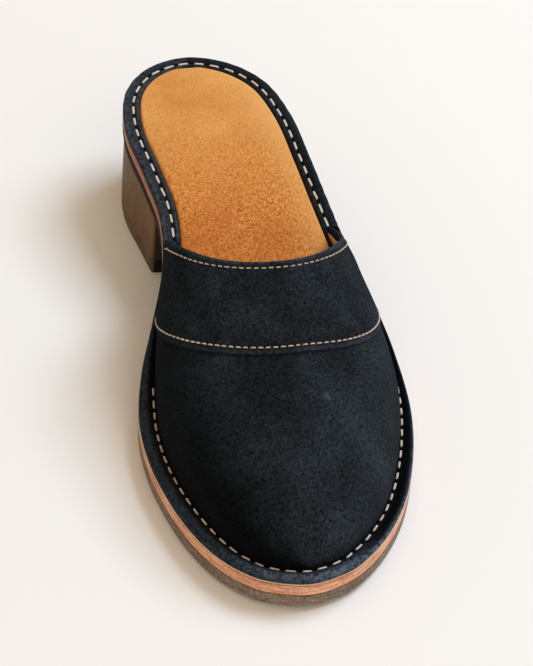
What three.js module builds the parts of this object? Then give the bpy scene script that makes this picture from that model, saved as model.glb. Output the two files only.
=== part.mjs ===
// A woman's mule shoe for the left foot: a suede upper stitched down to a leather sole with a block heel.
// Millimetres, +Z up. It stands on its heel and forefoot, toe towards -Y and outer side towards +X.
// Shapes are worked out in shoe sizes: u along the sole from the back of the heel, v across it (outer
// side positive) and z up. The last lines turn them into the part's own frame.

import * as THREE from 'three';
import { mergeVertices } from 'three/addons/utils/BufferGeometryUtils.js';

// Driving dimensions of the sole
const soleLength = 258;
const ballWidth = 100;
const heelHeight = 39.1;
const toeSpring = 2;
const outsoleAtSeat = 4;
const outsoleAtBall = 5;
const midsoleThickness = 4.4;
const insoleThickness = 2.6;
const bondGap = 0.3;

// Heel
const breastFromBack = 75;
const liftThickness = 6;
const heelTopInset = 0.6;
const heelFlare = 1;

// Suede: the rim strip round the seat, the upper's wall and the band over the instep
const suedeThickness = 1.9;
const rimWidth = 6.5;
const rimTuckLength = 14;
const upperWall = 1.8;
const leanClearance = 0.6;
const flangeWidth = 6.8;
const bandThickness = 1.4;

// Collar and band, measured along the sole on the inner side, and the height of the instep over the
// flange. Their outer ends lie further forward by the skews, or back where a skew is negative. A cut
// with no sweep is flat, seen from the side, and a sweep is the share of it that turns forward late,
// near the ridge (negative: early).
const collarBack = 97.5;
const collarSkew = 1;
const collarFront = 148.5;
const collarMedialSweep = 0.22;
const collarLateralSweep = -0.06;
const bandBackFoot = 130;
const bandSkew = -1;
const bandFront = 184.7;
const bandMedialSweep = 0.12;
const bandLateralSweep = -0.3;
const instepHeight = 46;
const noseLength = 50;
const noseFullness = 2.3;

// Steps of the surfaces
const soleSteps = 64;
const heelSteps = 24;
const rimSteps = 30;
const upperSteps = 44;
const archSteps = 12;
const bandSteps = 8;

// Outline of the sole: along as a share of its length, each side as a share of the ball width
const OUTLINE = [
  { along: 0.02, lateral: 0.15, medial: 0.18 },
  { along: 0.07, lateral: 0.28, medial: 0.286 },
  { along: 0.15, lateral: 0.35, medial: 0.319 },
  { along: 0.25, lateral: 0.382, medial: 0.283 },
  { along: 0.33, lateral: 0.407, medial: 0.256 },
  { along: 0.42, lateral: 0.443, medial: 0.286 },
  { along: 0.5, lateral: 0.489, medial: 0.355 },
  { along: 0.58, lateral: 0.525, medial: 0.43 },
  { along: 0.66, lateral: 0.531, medial: 0.47 },
  { along: 0.74, lateral: 0.501, medial: 0.467 },
  { along: 0.82, lateral: 0.441, medial: 0.429 },
  { along: 0.88, lateral: 0.372, medial: 0.38 },
  { along: 0.93, lateral: 0.285, medial: 0.315 },
  { along: 0.965, lateral: 0.197, medial: 0.24 },
  { along: 0.985, lateral: 0.124, medial: 0.168 },
];
const heelPointAcross = -0.016;
const toePointAcross = -0.023;

// Underside of the sole: rise as a share of the heel height, spring as a share of the toe spring, and
// full as the share of the way from the outsole's thickness at the seat to that at the ball
const PROFILE = [
  { along: 0, rise: 1, spring: 0, full: 0 },
  { along: 0.12, rise: 0.92, spring: 0, full: 0 },
  { along: 0.24, rise: 0.8, spring: 0, full: 0 },
  { along: 0.33, rise: 0.66, spring: 0, full: 0.1 },
  { along: 0.42, rise: 0.482, spring: 0, full: 0.4 },
  { along: 0.5, rise: 0.29, spring: 0, full: 0.8 },
  { along: 0.56, rise: 0.142, spring: 0, full: 1 },
  { along: 0.61, rise: 0.045, spring: 0, full: 1 },
  { along: 0.665, rise: 0, spring: 0, full: 1 },
  { along: 0.75, rise: 0, spring: 0, full: 1 },
  { along: 0.88, rise: 0, spring: 0.3, full: 1 },
  { along: 1, rise: 0, spring: 1, full: 1 },
];

// Stitched-down flange round the forepart: shares of its named width
const FLANGE = [
  { along: 0.37, medial: 0.3, lateral: 0.5 },
  { along: 0.5, medial: 0.36, lateral: 0.48 },
  { along: 0.58, medial: 0.78, lateral: 0.48 },
  { along: 0.66, medial: 1, lateral: 0.58 },
  { along: 0.76, medial: 1, lateral: 0.76 },
  { along: 0.88, medial: 1.08, lateral: 0.88 },
  { along: 1, medial: 0.94, lateral: 0.94 },
];

// Arch of the upper: rise as a share of the instep height, ridge as the share of the width from the
// inner side to the top of the arch, and how full each side is: 2 is an ellipse, and more is squarer
const ARCH = [
  { along: 0.37, rise: 1.04, ridge: 0.54, medialFull: 2.4, lateralFull: 1.45 },
  { along: 0.48, rise: 1.03, ridge: 0.55, medialFull: 2.4, lateralFull: 1.5 },
  { along: 0.57, rise: 1, ridge: 0.55, medialFull: 2.4, lateralFull: 1.65 },
  { along: 0.71, rise: 0.83, ridge: 0.54, medialFull: 2.35, lateralFull: 2 },
  { along: 0.83, rise: 0.68, ridge: 0.51, medialFull: 2.3, lateralFull: 2.2 },
  { along: 1, rise: 0.52, ridge: 0.49, medialFull: 2.2, lateralFull: 2.2 },
];

// Smooth curve through one column of a table, level wherever the table turns or stays level
function columnAt(table, column, along) {
  const last = table.length - 1;
  if (along <= table[0].along) {
    return table[0][column];
  }
  if (along >= table[last].along) {
    return table[last][column];
  }
  const spanAfter = (i) => table[i + 1].along - table[i].along;
  const slopeAfter = (i) => (table[i + 1][column] - table[i][column]) / spanAfter(i);
  const slopeAt = (i) => {
    if (i === 0 || i === last) {
      return slopeAfter(Math.min(i, last - 1));
    }
    const before = slopeAfter(i - 1);
    const after = slopeAfter(i);
    return before * after > 0 ? (2 * before * after) / (before + after) : 0;
  };
  const i = table.findIndex((row) => row.along > along) - 1;
  const span = table[i + 1].along - table[i].along;
  const t = (along - table[i].along) / span;
  const ease = t * t * (3 - 2 * t);
  return (
    table[i][column] * (1 - ease) +
    table[i + 1][column] * ease +
    span * (slopeAt(i) * t * (1 - t) ** 2 - slopeAt(i + 1) * t * t * (1 - t))
  );
}

// The closed outline: back of the heel, outer side, tip of the toe, inner side
const inPlan = (along, across) => new THREE.Vector3(along * soleLength, across * ballWidth, 0);
const outline = new THREE.CatmullRomCurve3(
  [
    inPlan(0, heelPointAcross),
    ...OUTLINE.map((row) => inPlan(row.along, row.lateral)),
    inPlan(1, toePointAcross),
    ...OUTLINE.toReversed().map((row) => inPlan(row.along, -row.medial)),
  ],
  true,
  'centripetal',
);
const lateral = 1;
const medial = -1;

// Direction of the outline, worked out across its closing point too
function outlineTangent(t) {
  const step = 1e-4;
  return outline.getPoint((t + step) % 1).sub(outline.getPoint((t - step + 1) % 1)).normalize();
}

// Point of the outline on one side, at a share of the way from heel to toe, moved inwards by an inset
function insetPoint(side, share, inset) {
  const t = side === lateral ? share / 2 : 1 - share / 2;
  const point = outline.getPoint(t);
  const tangent = outlineTangent(t);
  return new THREE.Vector3(point.x + tangent.y * inset, point.y - tangent.x * inset, 0);
}

// Share of the way from heel to toe at which one side of the outline reaches a length along the sole
function shareAt(side, u) {
  let low = 0;
  let high = 1;
  for (let step = 0; step < 40; step += 1) {
    const middle = (low + high) / 2;
    if (insetPoint(side, middle, 0).x < u) {
      low = middle;
    } else {
      high = middle;
    }
  }
  return low;
}

// Heights of the sole's layers at a length along the sole
function soleUnderside(u) {
  const along = u / soleLength;
  return heelHeight * columnAt(PROFILE, 'rise', along) + toeSpring * columnAt(PROFILE, 'spring', along);
}

function outsoleTop(u) {
  const full = columnAt(PROFILE, 'full', u / soleLength);
  return soleUnderside(u) + outsoleAtSeat + (outsoleAtBall - outsoleAtSeat) * full;
}

function midsoleUnderside(u) {
  return outsoleTop(u) + bondGap;
}

function midsoleTop(u) {
  return midsoleUnderside(u) + midsoleThickness;
}

function footbed(u) {
  return midsoleTop(u) + bondGap;
}

function flangeTop(u) {
  return footbed(u) + suedeThickness;
}

// Closed solid between two grids of points, rows by columns: the upper face and the lower face. Borders
// are closed by strips, and a border that shrinks to a point or folds onto itself closes without one.
function sheet(upperFace, lowerFace, closeEnd = true) {
  const rows = upperFace.length;
  const columns = upperFace[0].length;
  const points = [...upperFace.flat(), ...lowerFace.flat()];
  const top = (row, column) => row * columns + column;
  const bottom = (row, column) => rows * columns + row * columns + column;
  const triangles = [];
  const quad = (a, b, c, d) => triangles.push([a, b, c], [a, c, d]);
  for (let row = 0; row < rows - 1; row += 1) {
    for (let column = 0; column < columns - 1; column += 1) {
      quad(top(row, column), top(row + 1, column), top(row + 1, column + 1), top(row, column + 1));
      const beside = column + 1;
      quad(bottom(row, column), bottom(row, beside), bottom(row + 1, beside), bottom(row + 1, column));
    }
    quad(top(row, 0), bottom(row, 0), bottom(row + 1, 0), top(row + 1, 0));
    const edge = columns - 1;
    quad(top(row, edge), top(row + 1, edge), bottom(row + 1, edge), bottom(row, edge));
  }
  for (let column = 0; column < columns - 1; column += 1) {
    quad(top(0, column), top(0, column + 1), bottom(0, column + 1), bottom(0, column));
    if (closeEnd) {
      const end = rows - 1;
      quad(top(end, column), bottom(end, column), bottom(end, column + 1), top(end, column + 1));
    }
  }
  return closedGeometry(points, triangles);
}

// Geometry in the part's directions (outer side +X, toe -Y) with shared vertices merged and the
// triangles that shrank to a line left out
function closedGeometry(points, triangles) {
  const loose = new THREE.BufferGeometry();
  const turned = points.flatMap((point) => [point.y, -point.x, point.z]);
  loose.setAttribute('position', new THREE.Float32BufferAttribute(turned, 3));
  loose.setIndex(triangles.flat());
  const merged = mergeVertices(loose, 1e-3);
  const index = merged.getIndex().array;
  const kept = [];
  for (let i = 0; i < index.length; i += 3) {
    const [a, b, c] = [index[i], index[i + 1], index[i + 2]];
    if (a !== b && b !== c && c !== a) {
      kept.push(a, b, c);
    }
  }
  merged.setIndex(kept);
  const faceted = merged.toNonIndexed();
  faceted.computeVertexNormals();
  return faceted;
}

// Rungs across the sole, from the inner to the outer side, at a height that depends on the length
function rungs(shares, inset, height) {
  return shares.map((share) =>
    [medial, lateral].map((side) => {
      const sideShare = typeof share === 'number' ? share : share[side];
      const point = insetPoint(side, sideShare, inset(side, sideShare));
      return point.setZ(height(point.x));
    }),
  );
}

function evenShares(steps, end = 1) {
  return Array.from({ length: steps + 1 }, (_, i) => (end * i) / steps);
}

function outsole() {
  const shares = evenShares(soleSteps);
  return sheet(rungs(shares, () => 0, outsoleTop), rungs(shares, () => 0, soleUnderside));
}

function midsole() {
  const shares = evenShares(soleSteps);
  return sheet(rungs(shares, () => 0, midsoleTop), rungs(shares, () => 0, midsoleUnderside));
}

// Shares of the seat, from the back of the heel to the upright breast on both sides
function seatShares() {
  const ends = { [medial]: shareAt(medial, breastFromBack), [lateral]: shareAt(lateral, breastFromBack) };
  return evenShares(heelSteps).map((share) => ({
    [medial]: share * ends[medial],
    [lateral]: share * ends[lateral],
  }));
}

const heelFootInset = heelTopInset - heelFlare;

function heelBlock() {
  const shares = seatShares();
  return sheet(
    rungs(shares, () => heelTopInset, (u) => soleUnderside(u) - bondGap),
    rungs(shares, () => heelFootInset, () => liftThickness + bondGap),
  );
}

function topLift() {
  const shares = seatShares();
  return sheet(
    rungs(shares, () => heelFootInset, () => liftThickness),
    rungs(shares, () => heelFootInset, () => 0),
  );
}

function flange(side, share) {
  const along = insetPoint(side, share, 0).x / soleLength;
  return flangeWidth * columnAt(FLANGE, side === lateral ? 'lateral' : 'medial', along);
}

// The rim strip goes round the seat from collar to collar, and its narrowed ends pass inside the upper
function rimStrip() {
  const stations = [];
  for (const side of [medial, lateral]) {
    const corner = cornerAt(side, collarBack, collarSkew);
    const butt = shareAt(side, corner - 3 * bondGap);
    const tuck = shareAt(side, corner - bondGap);
    const end = shareAt(side, corner + rimTuckLength);
    const insideWall = (share) => flange(side, share) + upperWall + leanClearance;
    const half = evenShares(rimSteps, butt).map((share) => ({ side, share, outer: 0 }));
    half.push({ side, share: tuck, outer: insideWall(tuck) });
    half.push({ side, share: end, outer: insideWall(end) });
    stations.push(...(side === medial ? half.toReversed() : half.slice(1)));
  }
  const face = (height) =>
    stations.map(({ side, share, outer }) =>
      [rimWidth, outer].map((inset) => {
        const point = insetPoint(side, share, inset);
        return point.setZ(height(point.x));
      }),
    );
  return sheet(face(flangeTop), face(footbed));
}

// The insole lies inside the rim strip, and inside the upper's wall in front of the strip's ends
function insole() {
  const inset = (side, share) => {
    const u = insetPoint(side, share, 0).x;
    const rimEnd = cornerAt(side, collarBack, collarSkew) + rimTuckLength;
    const past = THREE.MathUtils.smoothstep(u, rimEnd, rimEnd + rimTuckLength);
    const insideRim = rimWidth + bondGap;
    const insideUpper = flange(side, share) + upperWall + leanClearance;
    return insideRim + (Math.max(insideUpper, insideRim * (1 - past)) - insideRim) * past;
  };
  const shares = evenShares(soleSteps);
  return sheet(rungs(shares, inset, (u) => footbed(u) + insoleThickness), rungs(shares, inset, footbed));
}

// Fullness of one side of the arch at a share of the sole's length
function fullnessAt(side, along) {
  return columnAt(ARCH, side === lateral ? 'lateralFull' : 'medialFull', along);
}

// Point of the arched upper on one side, at a share of the way to the toe and an angle from its foot
// (0) to its ridge (a quarter turn). The offset moves it off the upper's own outer face.
function archPoint(side, share, angle, offset, base) {
  const feet = {};
  for (const each of [medial, lateral]) {
    feet[each] = insetPoint(each, share, flange(each, share) - offset);
  }
  const along = (feet[medial].x + feet[lateral].x) / 2 / soleLength;
  const ridge = feet[medial].clone().lerp(feet[lateral], columnAt(ARCH, 'ridge', along));
  const tip = insetPoint(lateral, 1, flange(lateral, 1) - offset).x;
  const intoNose = THREE.MathUtils.clamp((ridge.x - tip + noseLength) / noseLength, 0, 1);
  const nose = (1 - intoNose ** noseFullness) ** (1 / noseFullness);
  const height = (instepHeight * columnAt(ARCH, 'rise', along) + offset) * nose;
  const fullness = fullnessAt(side, along);
  const up = Math.sin(angle) ** (2 / fullness);
  const out = Math.max(Math.cos(angle), 0) ** (2 / fullness);
  const point = ridge.clone().lerp(feet[side], out);
  return point.setZ(base(point.x) + height * up);
}

// Length along the sole of the foot of a slanted cut, further forward on the outer side by its skew
function cornerAt(side, foot, skew) {
  return side === lateral ? foot + skew : foot;
}

// Share of the way to the toe of a slanted cut over the arch, from its foot to where it meets the ridge
function slantShare(side, angle, { foot, skew, ridge, medialSweep, lateralSweep }) {
  const corner = cornerAt(side, foot, skew);
  const up = Math.sin(angle) ** (2 / fullnessAt(side, corner / soleLength));
  const sweep = side === lateral ? lateralSweep : medialSweep;
  return shareAt(side, corner + (ridge - corner) * (up + sweep * (up ** 3 - up)));
}

const collarCut = {
  foot: collarBack,
  skew: collarSkew,
  ridge: collarFront,
  medialSweep: collarMedialSweep,
  lateralSweep: collarLateralSweep,
};
const bandCut = {
  foot: bandBackFoot,
  skew: bandSkew,
  ridge: bandFront,
  medialSweep: bandMedialSweep,
  lateralSweep: bandLateralSweep,
};

// Angles of one arch, from the inner foot over the ridge to the outer foot
function archAngles() {
  const quarter = evenShares(archSteps, Math.PI / 2);
  return [
    ...quarter.map((angle) => ({ side: medial, angle })),
    ...quarter.slice(0, -1).toReversed().map((angle) => ({ side: lateral, angle })),
  ];
}

function upperGrid(offset, base, edgeHeight) {
  return evenShares(upperSteps).map((step) => {
    const row = archAngles().map(({ side, angle }) => {
      const start = slantShare(side, angle, collarCut);
      return archPoint(side, start + (1 - start) * step, angle, offset, base);
    });
    const edge = (side) => {
      const start = slantShare(side, 0, collarCut);
      const point = insetPoint(side, start + (1 - start) * step, 0);
      return point.setZ(edgeHeight(point.x));
    };
    return [edge(medial), ...row, edge(lateral)];
  });
}

function upper() {
  return sheet(upperGrid(0, flangeTop, flangeTop), upperGrid(-upperWall, footbed, footbed), false);
}

function bandGrid(offset, base) {
  return evenShares(bandSteps).map((step) =>
    archAngles().map(({ side, angle }) => {
      const back = slantShare(side, angle, collarCut);
      const front = slantShare(side, angle, bandCut);
      return archPoint(side, back + (front - back) * step, angle, offset, base);
    }),
  );
}

function instepBand() {
  const base = (u) => flangeTop(u) + bondGap;
  return sheet(bandGrid(bondGap + bandThickness, base), bandGrid(bondGap, base));
}

// Colours of the finished leathers
const finishes = {
  navySuede: { color: 0x1c2428, roughness: 0.95 },
  insoleLeather: { color: 0xc0762f, roughness: 0.75 },
  tanLeather: { color: 0xbc8060, roughness: 0.6 },
  stainedLeather: { color: 0x776a5d, roughness: 0.65 },
  darkRubber: { color: 0x2c2420, roughness: 0.8 },
};

function piece(name, geometry, finish) {
  const material = new THREE.MeshStandardMaterial({ metalness: 0, ...finishes[finish] });
  const mesh = new THREE.Mesh(geometry, material);
  mesh.name = name;
  return mesh;
}

const shoe = new THREE.Group();
shoe.add(
  piece('outsole', outsole(), 'stainedLeather'),
  piece('midsole', midsole(), 'tanLeather'),
  piece('heel_block', heelBlock(), 'stainedLeather'),
  piece('top_lift', topLift(), 'darkRubber'),
  piece('insole', insole(), 'insoleLeather'),
  piece('rim_strip', rimStrip(), 'navySuede'),
  piece('upper', upper(), 'navySuede'),
  piece('instep_band', instepBand(), 'navySuede'),
);

// The origin is on the floor under the middle of the whole shoe
const middle = new THREE.Box3().setFromObject(shoe).getCenter(new THREE.Vector3());
shoe.position.set(-middle.x, -middle.y, 0);

export default shoe;
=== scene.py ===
# %% [markdown]
# # A mule shoe in navy suede
# A mule is a shoe with a front and no back. This one has a suede upper that is turned outwards at its foot
# and stitched down onto a leather sole, a tan footbed, and a low block heel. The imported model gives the
# solids that carry everything. Here each of them gets a finer surface, worked out from the same sizes, and
# then stitches, lining and leather that shows its wear.

import bmesh
import bpy
import numpy as np
from mathutils import Matrix, Vector


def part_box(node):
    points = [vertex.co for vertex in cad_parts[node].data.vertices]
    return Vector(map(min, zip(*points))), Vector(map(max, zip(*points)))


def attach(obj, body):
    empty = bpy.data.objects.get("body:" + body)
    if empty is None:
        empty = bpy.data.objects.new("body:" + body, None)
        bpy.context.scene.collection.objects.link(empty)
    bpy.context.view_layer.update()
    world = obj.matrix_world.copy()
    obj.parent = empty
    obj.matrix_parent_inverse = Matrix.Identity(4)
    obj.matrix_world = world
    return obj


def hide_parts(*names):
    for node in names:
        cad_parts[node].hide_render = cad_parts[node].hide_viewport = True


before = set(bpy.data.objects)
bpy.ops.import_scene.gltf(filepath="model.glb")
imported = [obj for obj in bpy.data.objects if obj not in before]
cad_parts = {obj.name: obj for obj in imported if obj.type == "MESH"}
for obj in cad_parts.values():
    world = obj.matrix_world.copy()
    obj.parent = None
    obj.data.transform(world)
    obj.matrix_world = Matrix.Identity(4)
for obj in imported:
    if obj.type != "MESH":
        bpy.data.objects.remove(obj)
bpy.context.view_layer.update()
print("solids:", sorted(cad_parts))

# %% [markdown]
# ## Camera
# The shoe is seen from above its toe, slightly from its inner side. The camera's place and its direction in
# the picture are known, so the camera is first built with that direction, and then turned by the smallest
# turn that brings the shoe to the middle. That keeps the viewing angle and needs no shift. Blender measures
# the lens against the long side of the picture, here its height.

# %% Camera
PICTURE_HEIGHT = 666
focal_pixels = 1341.2
closer = 1.66
shoe_off_axis = (89.5, 9.0)
camera_place = (-0.144, -0.6145, 0.5695)
azimuth = np.radians(-8.57)
pitch = np.radians(41.19)

forward = Vector((-np.sin(azimuth) * np.cos(pitch), np.cos(azimuth) * np.cos(pitch), -np.sin(pitch)))
right = Vector((np.cos(azimuth), np.sin(azimuth), 0.0))
up = right.cross(forward)
to_shoe = forward + right * (shoe_off_axis[0] / focal_pixels) - up * (shoe_off_axis[1] / focal_pixels)
turn = forward.rotation_difference(to_shoe.normalized()).to_matrix()
axes = turn @ Matrix((right, up, -forward)).transposed()

camera_data = bpy.data.cameras.new("camera")
camera_data.sensor_width = 36.0
camera_data.lens = focal_pixels * closer * camera_data.sensor_width / PICTURE_HEIGHT
camera_data.clip_start = 0.05
camera = bpy.data.objects.new("camera", camera_data)
camera.matrix_world = Matrix.Translation(camera_place) @ axes.to_4x4()
bpy.context.collection.objects.link(camera)
bpy.context.scene.camera = camera
print("lens:", round(camera_data.lens, 1), "mm")

# %% [markdown]
# ## Numbers into leather
# Colours are noted as they look on a screen, from 0 to 255, and Blender wants them linear, so one helper
# turns them round. A material is a chain of small nodes. Its class adds one node at a time and returns its
# output, so that a finish below reads as a recipe: patterns, then colours laid over one another, then
# relief. All patterns read Object coordinates in metres: a noise of scale 1000 has grains of a millimetre.

# %% Material helpers
bpy.context.scene.view_settings.view_transform = "Standard"
bpy.context.scene.view_settings.look = "None"


def screen(red, green, blue):
    """Linear colour of a screen colour: the inverse of the sRGB curve, channel by channel."""
    share = np.array([red, green, blue], float) / 255
    linear = np.where(share <= 0.04045, share / 12.92, ((share + 0.055) / 1.055) ** 2.4)
    return (*linear.tolist(), 1.0)


class Finish:
    """A material whose nodes end in one Principled shader. Plain numbers are set on its own sockets."""

    def __init__(self, name, roughness, mirror=0.5, **sockets):
        self.material = bpy.data.materials.new(name)
        self.material.use_nodes = True
        self.shader = self.material.node_tree.nodes["Principled BSDF"]
        for socket, value in {"roughness": roughness, **sockets}.items():
            self.shader.inputs[socket.replace("_", " ").title()].default_value = value
        self.shader.inputs["Specular IOR Level"].default_value = mirror

    def add(self, kind, inputs, **settings):
        """One node. Of its inputs, by name or number, a socket is linked and a plain value set."""
        node = self.material.node_tree.nodes.new(kind)
        for key, value in settings.items():
            setattr(node, key, value)
        for key, value in inputs.items():
            if isinstance(value, bpy.types.NodeSocket):
                self.material.node_tree.links.new(value, node.inputs[key])
            else:
                node.inputs[key].default_value = value
        return node

    def grain(self, scale, detail=2.0, roughness=0.5, distortion=0.0, stretch=(1, 1, 1)):
        """Noise from 0 to 1 with about `scale` grains to the metre, times the stretch of each direction."""
        place = self.add("ShaderNodeTexCoord", {}).outputs["Object"]
        place = self.add("ShaderNodeMapping", {"Vector": place, "Scale": stretch}).outputs[0]
        noise = {"Scale": scale, "Detail": detail, "Roughness": roughness, "Distortion": distortion}
        return self.add("ShaderNodeTexNoise", {"Vector": place, **noise}).outputs[0]

    def painted(self, name):
        """Number that a piece carries at each of its points, by name."""
        return self.add("ShaderNodeAttribute", {}, attribute_name=name).outputs["Fac"]

    def spread(self, value, low, high, to_low=0.0, to_high=1.0):
        """A value's range from low to high, stretched to a new range and held inside it."""
        ends = dict(enumerate((value, low, high, to_low, to_high)))
        return self.add("ShaderNodeMapRange", ends).outputs[0]

    def product(self, first, second):
        return self.add("ShaderNodeMath", {0: first, 1: second}, operation="MULTIPLY").outputs[0]

    def tint(self, share, first, second, *ends):
        """Colour between two others by a share, first spread between its ends where they are given. A
        colour is another node's output, or three numbers as on a screen."""
        first, second = (screen(*value) if isinstance(value, tuple) else value for value in (first, second))
        share = self.spread(share, *ends) if ends else share
        return self.add("ShaderNodeMix", {0: share, 6: first, 7: second}, data_type="RGBA").outputs[2]

    def relief(self, *layers):
        """Bumps laid over one another, each a height from 0 to 1, a distance in metres and a strength."""
        normal = {}
        for height, distance, strength in layers:
            bump = {"Height": height, "Distance": distance, "Strength": strength, **normal}
            normal = {"Normal": self.add("ShaderNodeBump", bump).outputs[0]}
        return normal["Normal"]

    def dress(self, colour, roughness=None, relief=None):
        """Link the finished colour, roughness and relief to the shader."""
        for name, value in (("Base Color", colour), ("Roughness", roughness), ("Normal", relief)):
            if value is not None:
                self.material.node_tree.links.new(value, self.shader.inputs[name])


print("helpers ready")

# %% [markdown]
# ## Floor and light
# The shoe stands on a near-white floor in soft daylight. A large cool lamp stands high to the right and a
# little behind, so the shadow falls softly to the left, and warm surroundings fill it. Together they are
# neutral on the open floor, and every shadow is brown. The floor is one plain, faintly uneven sheet.

# %% Floor and light
paper = Finish("pale_paper", 0.9)
paper.dress(paper.tint(paper.grain(3.0), (251, 248, 245), (253, 251, 248)))

floor_mesh = bpy.data.meshes.new("floor")
FLOOR_REACH = 6.0
corners = [(x * FLOOR_REACH, y * FLOOR_REACH, 0) for x, y in ((-1, -1), (1, -1), (1, 1), (-1, 1))]
floor_mesh.from_pydata(corners, [], [(0, 1, 2, 3)])
floor = bpy.data.objects.new("floor", floor_mesh)
floor.data.materials.append(paper.material)
bpy.context.collection.objects.link(floor)


def lamp(name, place, aim, size, power, colour):
    """A square lamp of a size in metres that faces a point."""
    data = bpy.data.lights.new(name, "AREA")
    data.shape = "SQUARE"
    data.size = size
    data.energy = power
    data.color = colour
    light = bpy.data.objects.new(name, data)
    direction = Vector(aim) - Vector(place)
    light.matrix_world = Matrix.Translation(place) @ direction.to_track_quat("-Z", "Y").to_matrix().to_4x4()
    bpy.context.collection.objects.link(light)


lamp("window", (1.5, 0.45, 2.2), (0, 0, 0), 1.4, 53, (0.68, 0.82, 1.0))
lamp("front_fill", (0.3, -1.4, 1.2), (0, 0, 0), 1.2, 4, (1.0, 0.99, 0.97))
world = bpy.data.worlds.new("surroundings")
world.use_nodes = True
glow = world.node_tree.nodes["Background"].inputs
glow["Color"].default_value = (1.0, 0.82, 0.6, 1.0)
glow["Strength"].default_value = 0.54
bpy.context.scene.world = world
print("floor and two lamps")

# %% [markdown]
# ## The shoe's sizes
# All shapes come from the same few sizes as the solids, in millimetres: u along the sole from the back of
# the heel, v across it with the outer side positive, and z up. Short tables give the outline and the
# profiles as shares of those sizes, and one smooth curve runs through each column.

# %% Sizes and tables
SOLE_LENGTH = 258.0
BALL_WIDTH = 100.0
HEEL_HEIGHT = 39.1
TOE_SPRING = 2.0
OUTSOLE_AT_SEAT = 4.0
OUTSOLE_AT_BALL = 5.0
MIDSOLE = 4.4
INSOLE = 2.6
BOND = 0.3
SUEDE = 1.9
BREAST = 75.0
LIFT = 6.0
RIM = 6.5
FLANGE = 6.8
WALL = 1.8
BAND = 1.4
INSTEP = 46.0

OUTLINE = np.array([  # along, outer side, inner side
    (0.02, 0.15, 0.18), (0.07, 0.28, 0.286), (0.15, 0.35, 0.319), (0.25, 0.382, 0.283), (0.33, 0.407, 0.256),
    (0.42, 0.443, 0.286), (0.5, 0.489, 0.355), (0.58, 0.525, 0.43), (0.66, 0.531, 0.47),
    (0.74, 0.501, 0.467), (0.82, 0.441, 0.429), (0.88, 0.372, 0.38), (0.93, 0.285, 0.315),
    (0.965, 0.197, 0.24), (0.985, 0.124, 0.168),
])
HEEL_POINT = -0.016
TOE_POINT = -0.023
PROFILE = np.array([  # along, rise, spring, full
    (0, 1, 0, 0), (0.12, 0.92, 0, 0), (0.24, 0.8, 0, 0), (0.33, 0.66, 0, 0.1), (0.42, 0.482, 0, 0.4),
    (0.5, 0.29, 0, 0.8), (0.56, 0.142, 0, 1), (0.61, 0.045, 0, 1), (0.665, 0, 0, 1), (0.75, 0, 0, 1),
    (0.88, 0, 0.3, 1), (1, 0, 1, 1),
])
FLANGE_SHARE = np.array([  # along, inner side, outer side
    (0.37, 0.3, 0.5), (0.5, 0.36, 0.48), (0.58, 0.78, 0.48), (0.66, 1, 0.58), (0.76, 1, 0.76),
    (0.88, 1.08, 0.88), (1, 0.94, 0.94),
])
ARCH = np.array([  # along, rise, ridge, inner fullness, outer fullness
    (0.37, 1.04, 0.54, 2.4, 1.45), (0.48, 1.03, 0.55, 2.4, 1.5), (0.57, 1, 0.55, 2.4, 1.65),
    (0.71, 0.83, 0.54, 2.35, 2), (0.83, 0.68, 0.51, 2.3, 2.2), (1, 0.52, 0.49, 2.2, 2.2),
])
NOSE_LENGTH = 50.0
NOSE_FULLNESS = 2.3
OUTER = 1.0
INNER = -1.0


def blend(first, second, share):
    """The first value at share 0, the second at share 1, and a straight line between."""
    return first * (1 - share) + second * share


def by_side(side, outer, inner):
    return np.where(np.asarray(side) > 0, outer, inner)


def column_at(table, column, along):
    """Smooth curve through one column: cubics, each slope at a row the harmonic mean of its neighbours'."""
    x, y = table[:, 0], table[:, column]
    slope = np.diff(y) / np.diff(x)
    same = slope[:-1] * slope[1:] > 0
    total = np.where(same, slope[:-1] + slope[1:], 1.0)
    inner = np.where(same, 2 * slope[:-1] * slope[1:] / total, 0.0)
    slopes = np.concatenate([slope[:1], inner, slope[-1:]])
    along = np.clip(along, x[0], x[-1])
    i = np.clip(np.searchsorted(x, along, side="right") - 1, 0, len(x) - 2)
    span = x[i + 1] - x[i]
    t = (along - x[i]) / span
    ease = t * t * (3 - 2 * t)
    bend = slopes[i] * t * (1 - t) ** 2 - slopes[i + 1] * t * t * (1 - t)
    return blend(y[i], y[i + 1], ease) + span * bend


def ease_between(value, low, high):
    """From 0 at low to 1 at high along an S-curve."""
    t = np.clip((value - low) / (high - low), 0, 1)
    return t * t * (3 - 2 * t)


def bell(value, middle, width):
    """1 at the middle, falling off on both sides as the exponential of minus the square."""
    return np.exp(-(((value - middle) / width) ** 2))


def unit(vectors):
    return vectors / np.linalg.norm(vectors, axis=-1, keepdims=True)


def arc_along(line):
    """Length along a line of points, from 0 at its first."""
    return np.concatenate([[0], np.cumsum(np.linalg.norm(np.diff(line, axis=0), axis=1))])


print("tables:", len(OUTLINE), "rows of outline,", len(ARCH), "rows of arch")

# %% [markdown]
# ## Outline of the sole
# A last maker draws the sole's outline through a few measured widths. Here a closed curve runs through
# them, and a point on it can be moved inwards along the curve's normal. A share from 0 at the back of the
# heel to 1 at the tip of the toe names a point on either side, so the two points of one share make a rung
# across the shoe.

# %% Outline
control = np.array(
    [(0, HEEL_POINT * BALL_WIDTH)]
    + [(row[0] * SOLE_LENGTH, row[1] * BALL_WIDTH) for row in OUTLINE]
    + [(SOLE_LENGTH, TOE_POINT * BALL_WIDTH)]
    + [(row[0] * SOLE_LENGTH, -row[2] * BALL_WIDTH) for row in OUTLINE[::-1]]
)


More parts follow.
